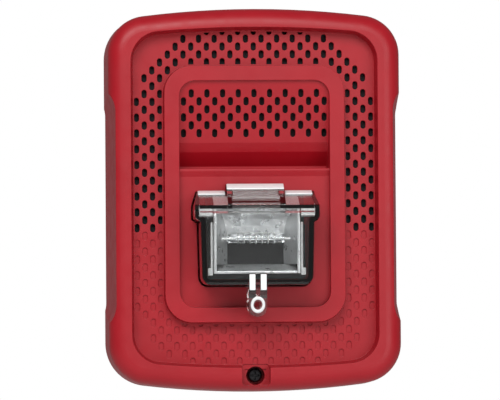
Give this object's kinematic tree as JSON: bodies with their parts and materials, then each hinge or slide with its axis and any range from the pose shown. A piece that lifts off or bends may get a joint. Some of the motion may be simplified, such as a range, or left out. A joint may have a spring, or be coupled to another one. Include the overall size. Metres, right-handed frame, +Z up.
{
  "type": "wall horn strobe",
  "caption": "Wall-mounted fire alarm horn strobe: red cover with slotted sound openings, clear flash lens, and a hook-on mounting plate with wiring terminals.",
  "frame": {"origin": "centre of the mounting plate's back face, on the wall", "axes": "+Z up; the front of the object faces -Y and +Y points into the wall; +X to the right as seen from the front"},
  "size_m": [0.11, 0.049, 0.143],
  "materials": {
    "red_plastic": "fine textured gloss",
    "clear_lens": "clear polycarbonate",
    "reflector_mirror": "vacuum metallised",
    "tube_glass": "clear",
    "tinned_wire": "tinned",
    "black_plastic": "fine matte",
    "board_green": "solder resist",
    "capacitor_can": "shrink sleeve",
    "bung_rubber": "matte",
    "transformer_plastic": "tape wrapped",
    "ferrite": "ferrite",
    "copper_winding": "enamelled copper",
    "chip_black": "moulded",
    "film_plastic": "dipped",
    "chip_ceramic": "ceramic",
    "grey_plastic": "matte",
    "brass_disc": "rolled",
    "piezo_ceramic": "silvered ceramic",
    "lead_wire": "insulated wire",
    "brass_pin": "plated",
    "zinc_steel": "zinc plated",
    "black_steel": "black oxide",
    "screen_fabric": "woven mesh",
    "switch_blue": "moulded",
    "dial_white": "moulded",
    "switch_grey": "moulded",
    "slider_white": "moulded",
    "spring_steel": "spring steel",
    "plate_plastic": "fine matte"
  },
  "bodies": {
    "plate": {"mounting_plate": "plate_plastic", "lock_insert": "brass_pin", "terminal_housing": "black_plastic", "terminal_contacts": "brass_pin", "terminal_screws": "zinc_steel", "terminal_washers": "zinc_steel"},
    "head": {"front_cover": "red_plastic", "strobe_lens": "clear_lens", "reflector": "reflector_mirror", "flash_tube": "tube_glass", "tube_electrodes": "tinned_wire", "trigger_wire": "tinned_wire", "light_block": "black_plastic", "lens_retainer": "red_plastic", "rear_housing": "black_plastic", "circuit_board": "board_green", "flash_capacitor": "capacitor_can", "capacitor_bung": "bung_rubber", "capacitor_legs": "tinned_wire", "trigger_transformer": "transformer_plastic", "boost_inductor": "ferrite", "inductor_winding": "copper_winding", "power_transistor": "chip_black", "film_capacitor": "film_plastic", "control_chips": "chip_black", "chip_parts": "chip_ceramic", "piezo_seat": "grey_plastic", "piezo_plate": "brass_disc", "piezo_ceramic": "piezo_ceramic", "piezo_leads": "lead_wire", "contact_pins": "brass_pin", "housing_screws": "zinc_steel", "acoustic_screen": "screen_fabric", "tone_switch_body": "switch_blue", "candela_switch_body": "switch_grey"},
    "dial": {"tone_dial": "dial_white"},
    "slider": {"candela_slider": "slider_white"},
    "clip": {"screw_retainer": "spring_steel"},
    "screw": {"captive_screw": "black_steel"}
  },
  "joints": [
    {"name": "head_swing", "type": "hinge", "parent": "plate", "child": "head", "pos_m": [0, -0.004, 0.0665], "axis": [-1, 0, 0], "range_deg": [0, 15]},
    {"name": "screw_travel", "type": "slide", "parent": "head", "child": "clip", "axis": [0, -1, 0], "range_m": [0, 0.00397]},
    {"name": "screw_turn", "type": "hinge", "parent": "clip", "child": "screw", "pos_m": [0, -0.0228, -0.0648], "axis": [0, -1, 0], "range_deg": [0, 1800]},
    {"name": "candela_slide", "type": "slide", "parent": "head", "child": "slider", "axis": [0, 0, 1], "range_m": [0, 0.012]},
    {"name": "tone_select", "type": "hinge", "parent": "head", "child": "dial", "pos_m": [-0.032, -0.0085, 0.002], "axis": [0, 1, 0], "range_deg": [0, 315]}
  ],
  "couplings": [
    {"joint": "screw_turn", "follows": "screw_travel", "rad_per_m": 7913.3}
  ]
}
